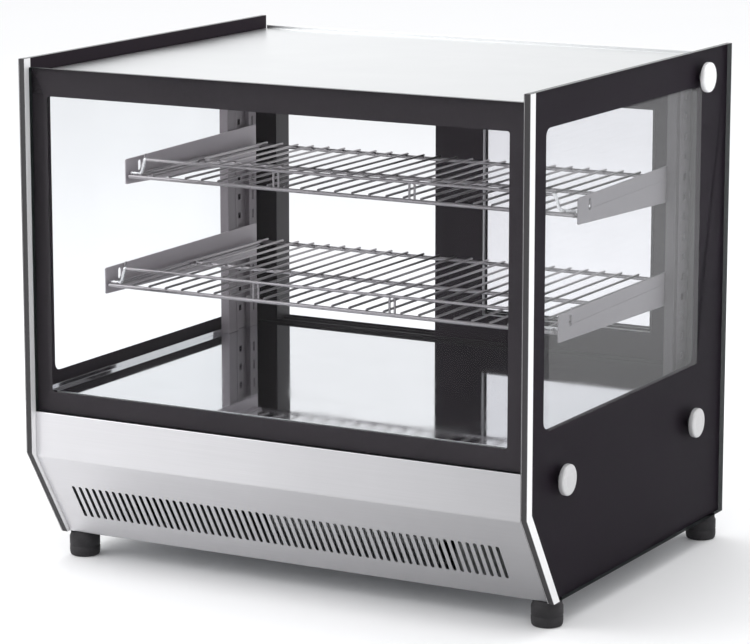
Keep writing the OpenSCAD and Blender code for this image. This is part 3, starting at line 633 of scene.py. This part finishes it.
parts = []
for s in (-1, 1):
    for y, z in ((0.203, 0.598), (0.187, 0.167), (-0.183, 0.175)):
        R = 0.0185
        parts.append(lathe([(0, -0.012), (0.0036, -0.012), (0.004, -0.0116), (0.004, 0.0), (R - 0.0012, 0.0), (R - 0.0003, 0.0004), (R, 0.0012),
                            (R, 0.0052), (R - 0.0004, 0.0062), (R - 0.0012, 0.0068), (R - 0.0022, 0.007),
                            (0.0100, 0.007), (0.0098, 0.00695), (0.0094, 0.00695), (0.0092, 0.007), (0, 0.007)],
                           (s * 0.3405, y, z), (s, 0, 0), 96))
add_piece("glass_knobs", merge_bm(parts, "glass_knobs"), replaces=("glass_bolts",))

# ---------------------------------------------------------------- rounded edges for the carried-over pieces
for node, w in (("edge_trims", 0.00025), ("top_panel", 0.0003),
                ("inner_door_frame", 0.0009), ("outer_door_frame", 0.0009), ("door_jambs", 0.0006), ("door_sill", 0.0004), ("door_head", 0.0004),
                ("uprights", 0.00025), ("upper_brackets", 0.0003), ("lower_brackets", 0.0003),
                ("rear_panel", 0.0002), ("deck", 0.0003),
                ("control_bezel", 0.0005), ("power_rocker", 0.0003), ("button_set", 0.0004), ("button_up", 0.0004), ("button_down", 0.0004),
                ("cable_gland", 0.0004), ("base_pan", 0.0003)):
    bevelled(node, w)

# ---------------------------------------------------------------- front panel: bent sheet with punched slots
def front_sheet():
    W, T = 0.3326, 0.0012
    lo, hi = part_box("front_panel")
    y0, z_top, z_bot = lo[1], hi[2], lo[2]
    z_bend, dy, dz = 0.143, 0.073, 0.116
    L = math.hypot(dy, dz)
    ca, sa = dz / L, dy / L                     # lean of the slope
    R = 0.006                                   # outside radius of the bend
    turn = math.asin(sa)
    back = R * math.tan(turn / 2)
    # outer line from the top ledge down to the bottom ledge, as (y, z, ny, nz), n pointing outwards
    line = [(y0 + 0.007, z_top, 0, 1)]
    for k in range(5):
        a = math.pi / 2 * k / 4
        r = 0.0022
        line.append((y0 + r - r * math.sin(a), z_top - r + r * math.cos(a), -math.sin(a), math.cos(a)))
    cy, cz = y0 + R, z_bend + back
    for k in range(9):
        a = turn * k / 8
        line.append((cy - R * math.cos(a), cz - R * math.sin(a), -math.cos(a), -math.sin(a)))
    slope0 = Vector((y0 + back * sa, z_bend - back * ca))     # first point of the slope
    base = Vector((y0 + (z_bend - 0.050) * dy / dz, 0.050))   # the slots are counted from here
    def at(s):                                                # s runs up the slope from base
        return (base.x - s * sa, base.y + s * ca)
    s_a, s_b = 0.013, 0.061
    s_hi = (Vector((base.x, base.y)) - slope0).length
    marks = [s_hi, s_b + 0.0040, s_a - 0.0040]
    for s_ in marks[1:]:
        line.append((*at(s_), -ca, -sa))
    r2 = 0.0022
    t2 = math.pi / 2 + turn
    foot_y = y0 + (z_bend - z_bot) * dy / dz
    # lower bend, from the slope to the ledge that runs back
    ang = math.pi / 2 - turn
    bk = r2 * math.tan(ang / 2)
    p0 = Vector((foot_y - bk * sa, z_bot + bk * ca))
    c2 = p0 + Vector((ca, sa)) * r2
    for k in range(6):
        a = turn + ang * k / 5
        line.append((c2.x - r2 * math.cos(a), c2.y - r2 * math.sin(a), -math.cos(a), -math.sin(a)))
    line.append((foot_y + 0.005, z_bot, 0, -1))
    n_slot, pitch, w = 61, 0.00973, 0.0047
    x0 = -0.005 - (n_slot - 1) / 2 * pitch - pitch / 2
    xs = [-W] + [x0 + i * pitch for i in range(n_slot + 1)] + [W]
    bm = bmesh.new()
    def vert(x, y, z, n, depth):
        return bm.verts.new((x, y - n[0] * depth, z - n[1] * depth))
    outer = [[vert(x, p[0], p[1], p[2:], 0) for x in xs] for p in line]
    inner = [[vert(x, p[0], p[1], p[2:], T) for x in xs] for p in line]
    slot_row = next(i for i in range(len(line) - 1) if abs(line[i][1] - at(marks[1])[1]) < 1e-9)
    for i in range(len(line) - 1):
        for j in range(len(xs) - 1):
            if i == slot_row and 0 < j < len(xs) - 2:
                continue
            bm.faces.new((outer[i][j], outer[i + 1][j], outer[i + 1][j + 1], outer[i][j + 1]))
            bm.faces.new((inner[i][j], inner[i][j + 1], inner[i + 1][j + 1], inner[i + 1][j]))
    i = slot_row
    for j in range(1, len(xs) - 2):
        xc = (xs[j] + xs[j + 1]) / 2
        ring_o, ring_i = [], []
        for k in range(8):                                    # upper end, left to right
            a = math.pi - math.pi * k / 7
            x, s_ = xc + w / 2 * math.cos(a), s_b + w / 2 * math.sin(a)
            y, z = at(s_)
            ring_o.append(vert(x, y, z, (-ca, -sa), 0)); ring_i.append(vert(x, y, z, (-ca, -sa), T))
        for k in range(8):                                    # lower end, right to left
            a = -math.pi * k / 7
            x, s_ = xc + w / 2 * math.cos(a), s_a + w / 2 * math.sin(a)
            y, z = at(s_)
            ring_o.append(vert(x, y, z, (-ca, -sa), 0)); ring_i.append(vert(x, y, z, (-ca, -sa), T))
        for ring, grid, flip in ((ring_o, outer, False), (ring_i, inner, True)):
            tl, bl, br, tr = grid[i][j], grid[i + 1][j], grid[i + 1][j + 1], grid[i][j + 1]
            faces = [
                [tl] + [ring[k] for k in range(0, 8)] + [tr],                       # above
                [bl, br] + [ring[k] for k in range(8, 16)],                         # below
                [tl, bl, ring[15], ring[0]],                                        # left
                [br, tr, ring[7], ring[8]],                                         # right
            ]
            for f in faces:
                bm.faces.new(f)
        for k in range(16):
            m = (k + 1) % 16
            bm.faces.new((ring_o[k], ring_o[m], ring_i[m], ring_i[k])).material_index = 1
    for a in (0, len(line) - 1):
        for j in range(len(xs) - 1):
            bm.faces.new((outer[a][j], outer[a][j + 1], inner[a][j + 1], inner[a][j]))
    for j in (0, len(xs) - 1):
        for i2 in range(len(line) - 1):
            bm.faces.new((outer[i2][j], outer[i2 + 1][j], inner[i2 + 1][j], inner[i2][j]))
    bmesh.ops.recalc_face_normals(bm, faces=bm.faces)
    me = bpy.data.meshes.new("front_sheet")
    bm.to_mesh(me)
    bm.free()
    return me


me = front_sheet()
sheet = add_piece("front_sheet", me, replaces=("front_panel",))
# painted shade: the slot walls get the near-black steel
me.materials.append(MATS["slot_wall_shade"])
settle_normals(me, 40.0)

# ---------------------------------------------------------------- floor and light
me = bpy.data.meshes.new("floor")
bm = bmesh.new()
bmesh.ops.create_grid(bm, x_segments=1, y_segments=1, size=30.0)
bm.to_mesh(me)
bm.free()
floor = bpy.data.objects.new("floor", me)
scene.collection.objects.link(floor)
t = Tree("floor_paper")
cloud = t.noise(0.8, None, 3.0, 0.5)
floor.data.materials.append(t.done(t.pbr(t.mix(cloud, (0.90, 0.90, 0.905), (0.93, 0.93, 0.935)), t.span(cloud, 0.3, 0.7, 0.7, 0.8), None, 0.0, Specular_IOR_Level=0.1)))

world = bpy.data.worlds.new("studio")
scene.world = world
world.use_nodes = True
wt = world.node_tree
wt.nodes.clear()
wo = wt.nodes.new("ShaderNodeOutputWorld")
bg = wt.nodes.new("ShaderNodeBackground")
tc = wt.nodes.new("ShaderNodeTexCoord")
sx = wt.nodes.new("ShaderNodeSeparateXYZ")
mr = wt.nodes.new("ShaderNodeMapRange")
wt.links.new(tc.outputs["Generated"], sx.inputs[0])
wt.links.new(sx.outputs["X"], mr.inputs[0])
mr.inputs[1].default_value = -1.0
mr.inputs[2].default_value = 1.0
mr.inputs[3].default_value = 1.25
mr.inputs[4].default_value = 0.85
wt.links.new(mr.outputs[0], bg.inputs["Strength"])
bg.inputs["Color"].default_value = (0.985, 0.99, 1.0, 1)
wt.links.new(bg.outputs[0], wo.inputs[0])


def area(name, loc, target, size, power, color=(1, 1, 1)):
    l = bpy.data.lights.new(name, "AREA")
    l.shape = "RECTANGLE"
    l.size, l.size_y = size
    l.energy = power
    l.color = color
    o = bpy.data.objects.new(name, l)
    scene.collection.objects.link(o)
    o.location = loc
    o.rotation_euler = (Vector(target) - Vector(loc)).to_track_quat("-Z", "Y").to_euler()
    return o


area("key", (-2.2, -1.8, 2.2), (0, 0, 0.3), (2.4, 2.4), 40)
area("top", (0.0, 0.2, 3.2), (0, 0, 0.3), (3.4, 3.4), 45)

scene.view_settings.view_transform = "Standard"
scene.view_settings.look = "None"
scene.view_settings.exposure = 0.0
scene.view_settings.gamma = 1.0
